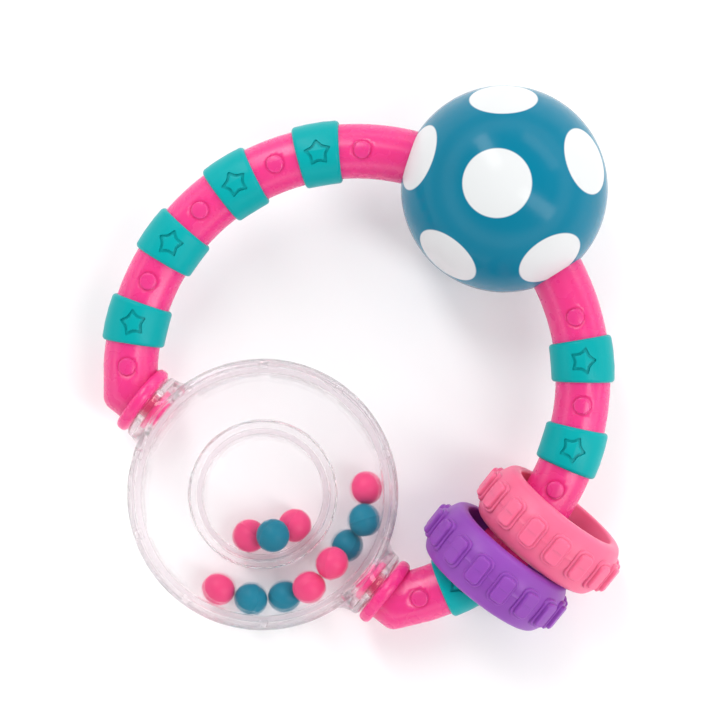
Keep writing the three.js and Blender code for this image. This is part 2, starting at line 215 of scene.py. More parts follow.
def spread(tree, value, low, high):
    node = tree.nodes.new("ShaderNodeMapRange")
    for socket, number in zip(node.inputs[1:5], (NOISE_LOW, NOISE_HIGH, low, high)):
        socket.default_value = number
    tree.links.new(value, node.inputs[0])
    return node.outputs[0]


def bump(tree, height, strength, distance, normal=None):
    node = tree.nodes.new("ShaderNodeBump")
    socket_set(node, Strength=strength, Distance=distance)
    tree.links.new(height, node.inputs["Height"])
    if normal:
        tree.links.new(normal, node.inputs["Normal"])
    return node.outputs["Normal"]


FINISH = "_finish"                               # follows a CAD slot's name
FLOW, GLOSS, RIPPLE, PEEL = 38, 260, 150, 2200   # noise cells in a metre


def moulded(name, colour, roughness, shine, drift=0.06, soft=0.0, coat=0.0, peel=0.025):
    material = bpy.data.materials.new(name + FINISH)
    material.use_nodes = True
    tree = material.node_tree
    shader = tree.nodes["Principled BSDF"]
    tint = tree.nodes.new("ShaderNodeHueSaturation")
    socket_set(tint, Color=(*colour, 1))
    tree.links.new(spread(tree, noise(tree, FLOW), 1 - drift, 1 + drift), tint.inputs["Value"])
    tree.links.new(tint.outputs["Color"], shader.inputs["Base Color"])
    gloss = spread(tree, noise(tree, GLOSS), roughness - 0.04, roughness + 0.05)
    tree.links.new(gloss, shader.inputs["Roughness"])
    wave = bump(tree, noise(tree, RIPPLE), 0.03, 0.2 * MM)
    skin = bump(tree, noise(tree, PEEL), peel, 0.05 * MM, wave)
    tree.links.new(skin, shader.inputs["Normal"])
    socket_set(shader, Subsurface_Weight=soft, Subsurface_Scale=2.5 * MM, Coat_Weight=coat,
               Coat_Roughness=0.12, Specular_IOR_Level=shine)
    shader.inputs["Subsurface Radius"].default_value = (1.0, 0.35, 0.45)
    return material


handle_pink = moulded("handle_pink", (0.78, 0.032, 0.225), 0.27, 0.5, drift=0.05, soft=0.3)
grip_teal = moulded("grip_teal", (0.0, 0.345, 0.36), 0.33, 0.12, drift=0.05, peel=0.04)
bead_pink = moulded("bead_pink", (0.74, 0.045, 0.18), 0.34, 0.2, drift=0.1, soft=0.15)
bead_blue = moulded("bead_blue", (0.0, 0.17, 0.26), 0.34, 0.12, drift=0.12)
ring_pink = moulded("ring_pink", (0.84, 0.14, 0.27), 0.38, 0.35, drift=0.04, soft=0.3, peel=0.05)
ring_purple = moulded("ring_purple", (0.25, 0.055, 0.39), 0.38, 0.3, drift=0.05, soft=0.15,
                      peel=0.05)
print("moulded finishes:", sum(m.name.endswith(FINISH) for m in bpy.data.materials))

# %% [markdown]
# The ball's white dots are printed, not moulded, so they belong in the material. Twelve dots
# sit about where the corners of an icosahedron would, with five drawn in a little round each
# end one. Opposite dots share an axis, so six axes are enough. For a point on the ball, the dot
# product of its direction with an axis tells how far it lies from that dot's middle, and the
# largest of the six decides whether it is white.

# %% The dotted finish of the ball
ball_low, ball_high = span("ball_front_shell", "ball_back_shell")
ball_middle = (ball_low + ball_high) / 2
BALL_INSET = 0.02                    # keeps the finished ball inside the CAD ball
BALL_R = (ball_high - ball_low).x / 2 / MM - BALL_INSET
DOT_SIZE = math.radians(19.0)
DOT_EDGE = 0.002
DOT_TILT, DOT_TILT_WAY, DOT_TURN = (math.radians(a) for a in (3.8, -157.5, -148))
DOT_SPREAD = math.radians(60.8)


def dot_axes():
    turned_to = (handle_place.to_3x3() @ Matrix.Scale(1 / MM, 3)
                 @ Matrix.Rotation(DOT_TILT_WAY, 3, "Z") @ Matrix.Rotation(DOT_TILT, 3, "Y")
                 @ Matrix.Rotation(DOT_TURN, 3, "Z"))
    yield turned_to @ Vector((0, 0, 1))
    for i in range(5):
        way = Matrix.Rotation(math.tau * i / 5, 3, "Z") @ Matrix.Rotation(DOT_SPREAD, 3, "Y")
        yield turned_to @ way @ Vector((0, 0, 1))


def maths(tree, operation, first, second=None):
    node = tree.nodes.new("ShaderNodeMath")
    node.operation = operation
    tree.links.new(first, node.inputs[0])
    if second is not None:
        tree.links.new(second, node.inputs[1])
    return node.outputs[0]


def dotted_ball():
    material = moulded("ball_blue", (0.0, 0.17, 0.275), 0.22, 0.12, drift=0.04, coat=0.1,
                       peel=0.015)
    tree = material.node_tree
    shader = tree.nodes["Principled BSDF"]
    place = tree.nodes.new("ShaderNodeTexCoord")
    from_middle = tree.nodes.new("ShaderNodeVectorMath")
    from_middle.operation = "SUBTRACT"
    from_middle.inputs[1].default_value = ball_middle
    tree.links.new(place.outputs["Object"], from_middle.inputs[0])
    way = tree.nodes.new("ShaderNodeVectorMath")
    way.operation = "NORMALIZE"
    tree.links.new(from_middle.outputs[0], way.inputs[0])
    nearest = None
    for axis in dot_axes():
        along = tree.nodes.new("ShaderNodeVectorMath")
        along.operation = "DOT_PRODUCT"
        along.inputs[1].default_value = axis
        tree.links.new(way.outputs[0], along.inputs[0])
        close = maths(tree, "ABSOLUTE", along.outputs["Value"])
        nearest = close if nearest is None else maths(tree, "MAXIMUM", nearest, close)
    ink = tree.nodes.new("ShaderNodeMapRange")
    edge = math.cos(DOT_SIZE)
    for socket, number in zip(ink.inputs[1:5], (edge - DOT_EDGE, edge + DOT_EDGE, 0, 1)):
        socket.default_value = number
    tree.links.new(nearest, ink.inputs[0])
    paint = tree.nodes.new("ShaderNodeMix")
    paint.data_type = "RGBA"
    paint.inputs["B"].default_value = (0.67, 0.685, 0.69, 1)
    tint = shader.inputs["Base Color"].links[0].from_socket
    tree.links.new(ink.outputs[0], paint.inputs["Factor"])
    tree.links.new(tint, paint.inputs["A"])
    tree.links.new(paint.outputs["Result"], shader.inputs["Base Color"])
    return material


ball_blue = dotted_ball()
print("dots:", 2 * len(list(dot_axes())), "ball radius mm:", round(BALL_R, 2))

# %% [markdown]
# Clear plastic bends what is behind it, so the drum is real refracting glass with a plastic's
# index. A path tracer finds the lamps through such glass only by luck, and the beads would sit
# in the dark. So rays that only carry light, shadow and diffuse rays, pass straight through.
# Of the rays that carry the picture a share passes straight too, which calms the sparkle of
# so many nested walls. A faint mauve absorption darkens the walls that are seen on edge.

# %% The clear finish of the drum
STRAIGHT = 0.25
MAUVE, MURK = (0.72, 0.6, 0.66, 1), 22


def clear_plastic():
    material = bpy.data.materials.new("drum_clear" + FINISH)
    material.use_nodes = True
    tree = material.node_tree
    shader = tree.nodes["Principled BSDF"]
    socket_set(shader, Base_Color=(1, 0.995, 0.998, 1), Roughness=0.015, IOR=1.49,
               Transmission_Weight=1.0)
    skin = bump(tree, noise(tree, RIPPLE), 0.05, 0.12 * MM)
    tree.links.new(skin, shader.inputs["Normal"])
    passing = tree.nodes.new("ShaderNodeBsdfTransparent")
    ray = tree.nodes.new("ShaderNodeLightPath")
    lights_way = maths(tree, "MAXIMUM", ray.outputs["Is Shadow Ray"],
                       ray.outputs["Is Diffuse Ray"])
    share = tree.nodes.new("ShaderNodeMath")
    share.operation = "MAXIMUM"
    share.inputs[1].default_value = STRAIGHT
    tree.links.new(lights_way, share.inputs[0])
    either = tree.nodes.new("ShaderNodeMixShader")
    tree.links.new(share.outputs[0], either.inputs[0])
    tree.links.new(shader.outputs[0], either.inputs[1])
    tree.links.new(passing.outputs[0], either.inputs[2])
    murk = tree.nodes.new("ShaderNodeVolumeAbsorption")
    socket_set(murk, Color=MAUVE, Density=MURK)
    output = tree.nodes["Material Output"]
    tree.links.new(either.outputs[0], output.inputs["Surface"])
    tree.links.new(murk.outputs[0], output.inputs["Volume"])
    return material


drum_clear = clear_plastic()
print("clear finish:", drum_clear.name)

# %% [markdown]
# ## Tools for making pieces
# Most of the rattle is turned: an outline spun about an axis. An outline here is a list of
# (radius, height, rounding) corners. A vertex bevel rounds them before the spin, which is
# quicker and cleaner than bevelling the solid afterwards. `finish` carries a mesh to its place,
# marks its sharp edges, ties it to the body it moves with and hides the CAD nodes it replaces.

# %% Turn an outline, and finish a piece
SHARP = math.radians(38)             # an edge that turns more than this stays crisp


def turned(outline, steps=96, closed=False, segments=5):
    bm = bmesh.new()
    verts = [bm.verts.new((radius, 0, height)) for radius, height, _ in outline]
    ends = verts[1:] + verts[:1] if closed else verts[1:]
    for a, b in zip(verts, ends):
        bm.edges.new((a, b))
    for rounding in sorted({corner[2] for corner in outline} - {0}):
        corners = [v for v, corner in zip(verts, outline) if corner[2] == rounding]
        bmesh.ops.bevel(bm, geom=corners, offset=rounding, segments=segments, profile=0.5,
                        affect="VERTICES", material=-1)
    bmesh.ops.spin(bm, geom=bm.verts[:] + bm.edges[:], cent=(0, 0, 0), axis=(0, 0, 1),
                   angle=math.tau, steps=steps, use_merge=True)
    bmesh.ops.remove_doubles(bm, verts=bm.verts, dist=1e-5)
    bmesh.ops.recalc_face_normals(bm, faces=bm.faces)
    return bm


def keep_side(bm, point, way):
    """Cuts bm by a plane through point, and keeps the side that way points to."""
    bmesh.ops.bisect_plane(bm, geom=bm.verts[:] + bm.edges[:] + bm.faces[:], plane_co=point,
                           plane_no=way, clear_inner=True)


def join_in(target, part, place):
    """Adds a copy of part, carried to place, to target."""
    copy = bpy.data.meshes.new("part")
    part.to_mesh(copy)
    copy.transform(place)
    target.from_mesh(copy)
    bpy.data.meshes.remove(copy)


def mesh_object(name, bm, place, material):
    bm.transform(place)
    mesh = bpy.data.meshes.new(name)
    bm.to_mesh(mesh)
    mesh.materials.append(material)
    mesh.shade_smooth()
    mesh.set_sharp_from_angle(angle=SHARP)
    made = bpy.data.objects.new(name, mesh)
    bpy.context.scene.collection.objects.link(made)
    return made


def finish(name, bm, place, material, body, *nodes):
    open_edges = sum(not edge.is_manifold for edge in bm.edges)
    piece = mesh_object(name, bm, place, material)
    bm.free()
    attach(piece, body)
    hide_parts(*nodes)
    print(f"{name}: {len(piece.data.polygons)} faces, {open_edges} open edges")


ALONG_X = Matrix.Rotation(math.pi / 2, 4, "Y")
HALF_TURN = Matrix.Rotation(math.pi, 4, "Z")
OVER = Matrix.Rotation(math.pi, 4, "X")

# %% [markdown]
# Some shapes are quickest to cut. A boolean takes one object from another, and we keep the
# evaluated result as the new mesh. `tie` tidies such a mesh, ties it to its body, hides its
# nodes.

# %% Helpers for cut pieces
MERGE = 0.002 * MM                   # what a boolean leaves closer than this becomes one point


def plain_object(bm, place):
    return mesh_object("tool", bm, place, handle_pink)


def cut(piece, tool, operation):
    """Applies a boolean of tool to piece, and removes tool."""
    modifier = piece.modifiers.new("cut", "BOOLEAN")
    modifier.operation, modifier.object, modifier.solver = operation, tool, "MANIFOLD"
    shaped = bpy.data.meshes.new_from_object(
        piece.evaluated_get(bpy.context.evaluated_depsgraph_get()))
    piece.modifiers.clear()
    piece.data = shaped
    bpy.data.objects.remove(tool)


def add_in(piece, part, place):
    """Adds part, carried to place, to a cut piece."""
    bm = bmesh.new()
    bm.from_mesh(piece.data)
    join_in(bm, part, place)
    bm.to_mesh(piece.data)
    bm.free()


def tie(piece, material, body, *nodes):
    """Tidies a cut mesh, ties it to its body and hides its CAD nodes."""
    bm = bmesh.new()
    bm.from_mesh(piece.data)
    bmesh.ops.remove_doubles(bm, verts=bm.verts, dist=MERGE)
    bmesh.ops.dissolve_degenerate(bm, edges=bm.edges, dist=MERGE)
    open_edges = sum(not edge.is_manifold for edge in bm.edges)
    bm.to_mesh(piece.data)
    bm.free()
    piece.data.materials.clear()
    piece.data.materials.append(material)
    for face in piece.data.polygons:
        face.material_index = 0
    piece.data.shade_smooth()
    piece.data.set_sharp_from_angle(angle=SHARP)
    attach(piece, body)
    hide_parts(*nodes)
    print(f"{piece.name}: {len(piece.data.polygons)} faces, {open_edges} open edges")


# %% [markdown]
# ## The handle
# The grip ring is a tube bent round in a C, moulded as a front and a back half. Close to the
# drum it turns a corner into a short neck. We spin a circle along the ring, carry its last
# loop onto the corner's mitre plane, and carry it on along the neck, so that the tube keeps
# its thickness round the corner. A bevel softens the mitre, and the neck's end hides in the
# flange of the pivot plug.

# %% Bend the tube
RING_R, TUBE_R, TUBE_WALL = 59.0, 7.1, 2.0
FLANGE_OUTER, NECK_LEAD = 41.9, 2.4
NECK_END = 39.0                      # hidden inside the plug's flange
CORNER_X = FLANGE_OUTER + NECK_LEAD
CORNER_ANGLE = -math.atan2(RING_Y, CORNER_X)
CORNER_LEAD = math.radians(6.5)
CORNER_ROUND = 1.8
TOP = math.pi / 2


def ring_tube(radius, start, end, sides, steps):
    bm = bmesh.new()
    section = (Matrix.Rotation(start, 4, "Z") @ Matrix.Translation((RING_R, 0, 0))
               @ Matrix.Rotation(math.pi / 2, 4, "X"))
    bmesh.ops.create_circle(bm, segments=sides, radius=radius, matrix=section)
    spun = bmesh.ops.spin(bm, geom=bm.verts[:] + bm.edges[:], cent=(0, 0, 0), axis=(0, 0, 1),
                          angle=end - start, steps=steps)
    return bm, [e for e in spun["geom_last"] if isinstance(e, bmesh.types.BMEdge)]


def carry(bm, loop, way, on_plane, plane_way):
    """Extrudes a loop of edges along way, until it lies on a plane."""
    grown = bmesh.ops.extrude_edge_only(bm, edges=loop)["geom"]
    for vert in (v for v in grown if isinstance(v, bmesh.types.BMVert)):
        vert.co += way * ((on_plane - vert.co).dot(plane_way) / way.dot(plane_way))
    return [e for e in grown if isinstance(e, bmesh.types.BMEdge)
            and all(abs((on_plane - v.co).dot(plane_way)) < 1e-4 for v in e.verts)]


def handle_skin():
    arc_end = CORNER_ANGLE + CORNER_LEAD
    bm, loop = ring_tube(TUBE_R, TOP, arc_end, sides=56, steps=110)
    corner = Vector((CORNER_X, -RING_Y, 0))
    arc_end_point = RING_R * Vector((math.cos(arc_end), math.sin(arc_end), 0))
    way_in = (corner - arc_end_point).normalized()
    way_out = Vector((-1, 0, 0))
    mitre = carry(bm, loop, way_in, corner, (way_in + way_out).normalized())
    carry(bm, mitre, way_out, Vector((NECK_END, 0, 0)), way_out)
    bmesh.ops.bevel(bm, geom=mitre, offset=CORNER_ROUND, segments=8, profile=0.5,
                    affect="EDGES", material=-1)
    bmesh.ops.mirror(bm, geom=bm.verts[:] + bm.edges[:] + bm.faces[:], axis="X",
                     merge_dist=1e-3)
    bmesh.ops.remove_doubles(bm, verts=bm.verts, dist=1e-4)
    bmesh.ops.recalc_face_normals(bm, faces=bm.faces)
    return bm


print("corner angle, degrees:", round(math.degrees(CORNER_ANGLE), 1))

# %% [markdown]
# Low nubs and stars lie on the tube as if pressed from a flat sheet. So we model them flat and
# wrap them: x runs across the tube, y along it and z up from it. The wrap turns x into an
# angle about the tube, and y into an angle about the ring.

# %% Wrap flat details onto the tube
def bend_round_ring(bm):
    for vert in bm.verts:
        angle, reach = vert.co.y / RING_R, RING_R + vert.co.x
        vert.co.x, vert.co.y = reach * math.cos(angle), reach * math.sin(angle)


def wrap_on_tube(bm, tube_radius):
    for vert in bm.verts:
        angle, reach = vert.co.x / tube_radius, tube_radius + vert.co.z
        vert.co.x, vert.co.z = reach * math.sin(angle), reach * math.cos(angle)
    bend_round_ring(bm)


def ring_angle(node):
    low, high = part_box(node)
    place = ring_place.inverted() @ ((low + high) / 2)
    return math.atan2(place.y, place.x)


band_angles = {node: ring_angle(node) for node in frame["nodes"] if "grip_band" in node}
NUB_R, NUB_HEIGHT, NUB_ROOT, NUB_ROUND, NUB_CROWN = 2.2, 0.5, 0.6, 0.48, 0.05
GROOVE_IN, GROOVE_OUT, GROOVE_FLARE = 0.1, 0.25, 0.85   # measured from the nub's edge
GROOVE_DEEP, GROOVE_HIGH = 0.22, 0.2
NUB_PITCH = band_angles["grip_band_right_1"] - band_angles["grip_band_right_2"]
nub_turns = [band_angles["grip_band_right_1"] - TOP + NUB_PITCH * (0.5 - i) for i in range(5)]


def nub():
    bm = turned([(0, -NUB_ROOT, 0), (NUB_R, -NUB_ROOT, 0), (NUB_R, NUB_HEIGHT, NUB_ROUND),
                 (0, NUB_HEIGHT + NUB_CROWN, 0)], steps=48, segments=6)
    wrap_on_tube(bm, TUBE_R)
    return bm


def nub_groove():
    bm = turned([(NUB_R - GROOVE_IN, -GROOVE_DEEP, 0), (NUB_R + GROOVE_OUT, -GROOVE_DEEP, 0.1),
                 (NUB_R + GROOVE_FLARE, GROOVE_HIGH, 0), (NUB_R - GROOVE_IN, GROOVE_HIGH, 0)],
                steps=48, closed=True, segments=4)
    wrap_on_tube(bm, TUBE_R)
    return bm


print("nubs at", [round(math.degrees(turn), 1) for turn in nub_turns], "degrees from the ball")

# %% [markdown]
# A cut along the ring's middle plane leaves each half, and solidify gives it its wall. The
# fine gap between the halves is the parting line that you can feel on the real thing.

# %% Make the two halves of the handle
SEAM = 0.16
skin = handle_skin()
flat_nub, flat_groove = nub(), nub_groove()
for side, part in ((1, "front"), (-1, "back")):
    half = skin.copy()
    keep_side(half, (0, 0, side * SEAM / 2), (0, 0, side))
    bmesh.ops.solidify(half, geom=half.faces[:], thickness=TUBE_WALL)
    facing = Matrix.Identity(4) if side > 0 else OVER
    nubs, grooves = bmesh.new(), bmesh.new()
    for turn in nub_turns + [-turn for turn in nub_turns]:
        join_in(nubs, flat_nub, Matrix.Rotation(TOP + turn, 4, "Z") @ facing)
        join_in(grooves, flat_groove, Matrix.Rotation(TOP + turn, 4, "Z") @ facing)
    piece = mesh_object(f"handle_{part}_half", half, ring_place, handle_pink)
    cut(piece, plain_object(grooves, ring_place), "DIFFERENCE")
    add_in(piece, nubs, ring_place)
    tie(piece, handle_pink, "handle", f"handle_{part}_shell")

# %% [markdown]
# ## Grip bands
# Each band is a soft sleeve moulded over the tube, with rounded shoulders and a star on both
# faces. The sleeve is turned about the tube's line and bent round the ring. The star starts as
# a ten-cornered face whose tips are rounded by a vertex bevel. A larger star sinks a pocket in
# the sleeve and a smaller one stands in it: the moat left between them draws the dark line
# that makes the star readable.

# %% Cut the star
BAND_R, BAND_WIDTH, BAND_BORE = 8.25, 11.1, 7.14
STAR_R, STAR_WAIST, STAR_TIP = 3.8, 0.62, 0.5
STAR_POCKET, STAR_MOAT, STAR_HEIGHT = 0.5, 1.15, 0.12


def star(size, bottom, top, edge):
    bm = bmesh.new()
    corners = []
    for i in range(10):
        radius = size * (STAR_WAIST if i % 2 else 1)
        angle = math.pi * i / 5
        corners.append(bm.verts.new((radius * math.cos(angle), radius * math.sin(angle),
                                     bottom)))
    bm.faces.new(corners)
    bmesh.ops.bevel(bm, geom=corners, offset=STAR_TIP, segments=4, profile=0.5,
                    affect="VERTICES", material=-1)
    grown = bmesh.ops.extrude_face_region(bm, geom=bm.faces[:])["geom"]
    lid = {v for v in grown if isinstance(v, bmesh.types.BMVert)}
    bmesh.ops.translate(bm, verts=list(lid), vec=(0, 0, top - bottom))
    bmesh.ops.recalc_face_normals(bm, faces=bm.faces)
    rim = [e for e in bm.edges if lid.issuperset(e.verts)]
    bmesh.ops.bevel(bm, geom=rim, offset=edge, segments=3, profile=0.5, affect="EDGES",
                    material=-1)
    cuts = 14                            # slices that let the flat star bend round the tube
    for i in range(1, cuts):
        everything = bm.verts[:] + bm.edges[:] + bm.faces[:]
        bmesh.ops.bisect_plane(bm, geom=everything, plane_co=(size * (2 * i / cuts - 1), 0, 0),
                               plane_no=(1, 0, 0))
    wrap_on_tube(bm, BAND_R)
    return bm


star_pocket = star(STAR_R, -STAR_POCKET, top=0.5, edge=0.1)
star_island = star(STAR_R - STAR_MOAT, -STAR_POCKET - 0.2, top=STAR_HEIGHT, edge=0.18)
print("star faces:", len(star_island.faces))

# %% [markdown]
# All the bands are alike, so one is made and then copied. It is turned, bent round the ring, cut
# by the pocket on each face, and given its two stars. The CAD nodes tell where each copy goes.

# %% Slip the bands onto the handle
SHOULDER, BAND_CROWN = 0.95, 0.1
BOTH_FACES = (Matrix.Identity(4), OVER)


def band():
    edge = BAND_WIDTH / 2
    bm = turned([(BAND_BORE, -edge, 0), (BAND_R - BAND_CROWN, -edge, SHOULDER),
                 (BAND_R, -edge / 3, 0), (BAND_R, edge / 3, 0),
                 (BAND_R - BAND_CROWN, edge, SHOULDER), (BAND_BORE, edge, 0),
                 (BAND_BORE, 0, 0)], steps=96, closed=True)
    bm.transform(Matrix.Rotation(-math.pi / 2, 4, "X"))
    bend_round_ring(bm)
    sleeve = mesh_object("sleeve", bm, Matrix.Identity(4), grip_teal)
    bm.free()
    for facing in BOTH_FACES:
        cut(sleeve, plain_object(star_pocket.copy(), facing), "DIFFERENCE")
    bm = bmesh.new()
    bm.from_mesh(sleeve.data)
    bpy.data.objects.remove(sleeve)
    for facing in BOTH_FACES:
        join_in(bm, star_island, facing)
    return bm


one_band = band()
for node, angle in sorted(band_angles.items()):
    finish(node.replace("grip_band", "soft_band"), one_band.copy(),
           ring_place @ Matrix.Rotation(angle, 4, "Z"), grip_teal, "handle", node)

# %% [markdown]
# ## Pivot plugs
# A plug is turned in one piece: a mushroom head that snaps into the drum's collar, a spigot
# that the drum spins on, a rounded flange that meets the collar, and a stem inside the neck.

# %% Turn the plugs
HEAD_R, SPIGOT_R, FLANGE_R, STEM_R = 5.85, 3.4, 9.5, 4.8
HEAD_INNER, HEAD_OUTER, FLANGE_INNER, STEM_END = 33.0, 36.0, 38.7, 44.5
for side, turn in (("right", Matrix.Identity(4)), ("left", HALF_TURN)):
    plug = turned([(0, HEAD_INNER, 0), (HEAD_R, HEAD_INNER, 1.4), (HEAD_R, HEAD_OUTER, 0.5),
                   (SPIGOT_R, HEAD_OUTER, 0.3), (SPIGOT_R, FLANGE_INNER, 0.2),
                   (FLANGE_R, FLANGE_INNER, 1.35), (FLANGE_R, FLANGE_OUTER, 1.35),
                   (STEM_R, FLANGE_OUTER, 0), (STEM_R, STEM_END, 0.5), (0, STEM_END, 0)])
    finish(f"pivot_{side}", plug, handle_place @ turn @ ALONG_X, handle_pink, "handle",
           f"pivot_plug_{side}")

# %% [markdown]
# ## The ball
# Two hollow halves meet on the ring's middle plane and clamp the tube. A half is a sphere, cut
# and given a wall, and the tube's way through it is taken out with a boolean, which follows
# the curved tube with a little room to spare.

# %% Make the ball's halves
BALL_WALL, BALL_ROOM = 2.2, 0.25
BALL_REACH = 0.7                     # radians of tube on each side of the ball's middle
ball_place = handle_place.copy()
ball_place.translation = ball_middle
for side, part in ((1, "front"), (-1, "back")):
    half = bmesh.new()
    bmesh.ops.create_uvsphere(half, u_segments=128, v_segments=64, radius=BALL_R)
    keep_side(half, (0, 0, side * SEAM / 2), (0, 0, side))
    bmesh.ops.solidify(half, geom=half.faces[:], thickness=BALL_WALL)
    piece = mesh_object(f"ball_{part}_half", half, ball_place, ball_blue)
    half.free()
    way, _ = ring_tube(TUBE_R + BALL_ROOM, TOP + BALL_REACH, TOP - BALL_REACH,
                       sides=64, steps=60)
    bmesh.ops.holes_fill(way, edges=way.edges)
    bmesh.ops.recalc_face_normals(way, faces=way.faces)
    cut(piece, plain_object(way, ring_place), "DIFFERENCE")
    way.free()
    tie(piece, ball_blue, "handle", f"ball_{part}_shell")

# %% [markdown]
# ## The drum
# Two clear shells make the drum. The back one carries the bead track's wall and the inner
# chamber's wall; the front one has a short socket that centres the chamber wall. Both have
# half of each collar. Every wall is a real wall, because the grey circles that you see in a
# clear drum are its walls seen on edge.

# %% Turn the shells
DRUM_R, HALF_DEPTH, FACE, PARTING = 34.8, 14.0, 2.2, 0.2
SKIRT_INNER, LIP_OUTER, TRACK_R = 33.0, 32.7, 31.1
CHAMBER_R, CHAMBER_WALL = 15.4, 1.5
SOCKET_INNER, SOCKET_OUTER, SOCKET_DEPTH = 17.2, 18.8, 6.0
WALL_TOP = HALF_DEPTH - FACE - 0.3
RIM_ROUND, DRUM_STEPS = 1.6, 160
FLOOR = FACE - HALF_DEPTH
CHAMBER_OUTER = CHAMBER_R + CHAMBER_WALL

front_outline = [
    (0, -FLOOR, 0), (SOCKET_INNER, -FLOOR, 0), (SOCKET_INNER, -FLOOR - SOCKET_DEPTH, 0.3),
    (SOCKET_OUTER, -FLOOR - SOCKET_DEPTH, 0.3), (SOCKET_OUTER, -FLOOR, 0.5),
    (SKIRT_INNER, -FLOOR, 0.3), (SKIRT_INNER, PARTING / 2, 0.2), (DRUM_R, PARTING / 2, 0.2),
    (DRUM_R, HALF_DEPTH, RIM_ROUND), (0, HALF_DEPTH, 0)]
back_outline = [
    (0, -HALF_DEPTH, 0), (DRUM_R, -HALF_DEPTH, RIM_ROUND), (DRUM_R, -PARTING / 2, 0.2),
    (LIP_OUTER, -PARTING / 2, 0), (LIP_OUTER, WALL_TOP, 0.35), (TRACK_R, WALL_TOP, 0.35),
    (TRACK_R, FLOOR, 1.0), (CHAMBER_OUTER, FLOOR, 0.5), (CHAMBER_OUTER, WALL_TOP, 0.35),
    (CHAMBER_R, WALL_TOP, 0.35), (CHAMBER_R, FLOOR, 1.4), (0, FLOOR, 0)]
front_shell = mesh_object("drum_front", turned(front_outline, DRUM_STEPS), drum_place,
                          drum_clear)
back_shell = mesh_object("drum_back", turned(back_outline, DRUM_STEPS), drum_place, drum_clear)
print("drum shells:", len(front_shell.data.polygons), len(back_shell.data.polygons))

# %% [markdown]
# A collar is a round boss with a flared root and a rounded end. The pocket inside it holds
# the plug's mushroom head. We trim each collar by the drum's own round inside, so that nothing
# of it stands in the bead track, and keep the half that belongs to the shell.

# %% Add the collars
COLLAR_R, COLLAR_END, COLLAR_FLARE = 9.4, 38.4, 2.2
COLLAR_ROOT, FLARE_START, FLARE_END = 26.0, 32.6, 35.2
POCKET_R, POCKET_ROOT, POCKET_END, SPIGOT_HOLE = 6.65, 20.0, 36.4, 3.8
BOSS_TRIM, POCKET_TRIM = SKIRT_INNER + 0.9, LIP_OUTER + 0.15
TALL = 60                            # a trimming bar stands well clear of the drum's faces


def round_bar(radius):
    return turned([(0, -TALL / 2, 0), (radius, -TALL / 2, 0), (radius, TALL / 2, 0),
                   (0, TALL / 2, 0)], DRUM_STEPS)


def collar():
    return turned([(0, COLLAR_ROOT, 0), (COLLAR_R + COLLAR_FLARE + 1, COLLAR_ROOT, 0),
                   (COLLAR_R + COLLAR_FLARE, FLARE_START, 0.4), (COLLAR_R, FLARE_END, 1.6),
                   (COLLAR_R, COLLAR_END, 1.3), (0, COLLAR_END, 0)], 96)


def pivot_room():
    return turned([(0, POCKET_ROOT, 0), (POCKET_R, POCKET_ROOT, 0),
                   (POCKET_R, POCKET_END, 0.4),
                   (SPIGOT_HOLE, POCKET_END, 0), (SPIGOT_HOLE, COLLAR_END + 1, 0),
                   (0, COLLAR_END + 1, 0)], 64)


for shell, side in ((front_shell, 1), (back_shell, -1)):
    for turn in (Matrix.Identity(4), HALF_TURN):
        boss = collar()
        keep_side(boss, (-side * PARTING / 2, 0, 0), (-side, 0, 0))
        bmesh.ops.holes_fill(boss, edges=boss.edges)
        bmesh.ops.recalc_face_normals(boss, faces=boss.faces)
        boss_piece = plain_object(boss, drum_place @ turn @ ALONG_X)
        cut(boss_piece, plain_object(round_bar(BOSS_TRIM), drum_place), "DIFFERENCE")
        cut(shell, boss_piece, "UNION")
        room = plain_object(pivot_room(), drum_place @ turn @ ALONG_X)
        cut(room, plain_object(round_bar(POCKET_TRIM), drum_place), "DIFFERENCE")
        cut(shell, room, "DIFFERENCE")
print("with collars:", len(front_shell.data.polygons), len(back_shell.data.polygons))

# %% [markdown]
# Ten weld tabs join the nested walls. Each is a small wedge-shaped pocket in the front shell's
# skirt, and they interrupt the dark line of the gap between the walls. The round mark of an
# ejector pin is left on the front face's inside.

# %% Sink the weld pockets and the ejector mark
TAB_COUNT, TAB_START = 10, math.radians(20.4)
TAB_MIDDLE, TAB_WIDTH, TAB_DEPTH, TAB_HEIGHT = 33.1, 2.9, 1.9, 4.0
TAB_NARROW, TAB_EDGE, TAB_SINK = 0.7, 0.3, 1.1
MARK_R, MARK_AT = 3.4, Vector((-18.8, 18.2, 0))
MARK_LINE, MARK_LOW, MARK_HIGH = 0.15, -0.3, 0.12

for i in range(TAB_COUNT):
    tab = bmesh.new()
    bmesh.ops.create_cube(tab, size=1.0)
    for vert in tab.verts:
        narrow = TAB_NARROW if vert.co.x > 0 else 1.0
        vert.co = Vector((vert.co.x * TAB_DEPTH, vert.co.y * TAB_WIDTH * narrow,
                          vert.co.z * TAB_HEIGHT))
    bmesh.ops.bevel(tab, geom=tab.edges[:], offset=TAB_EDGE, segments=2, profile=0.5,
                    affect="EDGES", material=-1)
    turn = Matrix.Rotation(TAB_START + math.tau * i / TAB_COUNT, 4, "Z")
    sunk = Matrix.Translation((TAB_MIDDLE, 0, -FLOOR - TAB_SINK))
    cut(front_shell, plain_object(tab, drum_place @ turn @ sunk), "DIFFERENCE")
mark = turned([(MARK_R - MARK_LINE, MARK_LOW, 0), (MARK_R, MARK_LOW, 0), (MARK_R, MARK_HIGH, 0),
               (MARK_R - MARK_LINE, MARK_HIGH, 0)], 48, closed=True)
mark_place = drum_place @ Matrix.Translation(MARK_AT + Vector((0, 0, -FLOOR)))
cut(front_shell, plain_object(mark, mark_place), "DIFFERENCE")
tie(front_shell, drum_clear, "drum", "drum_front_shell")
tie(back_shell, drum_clear, "drum", "drum_back_shell")
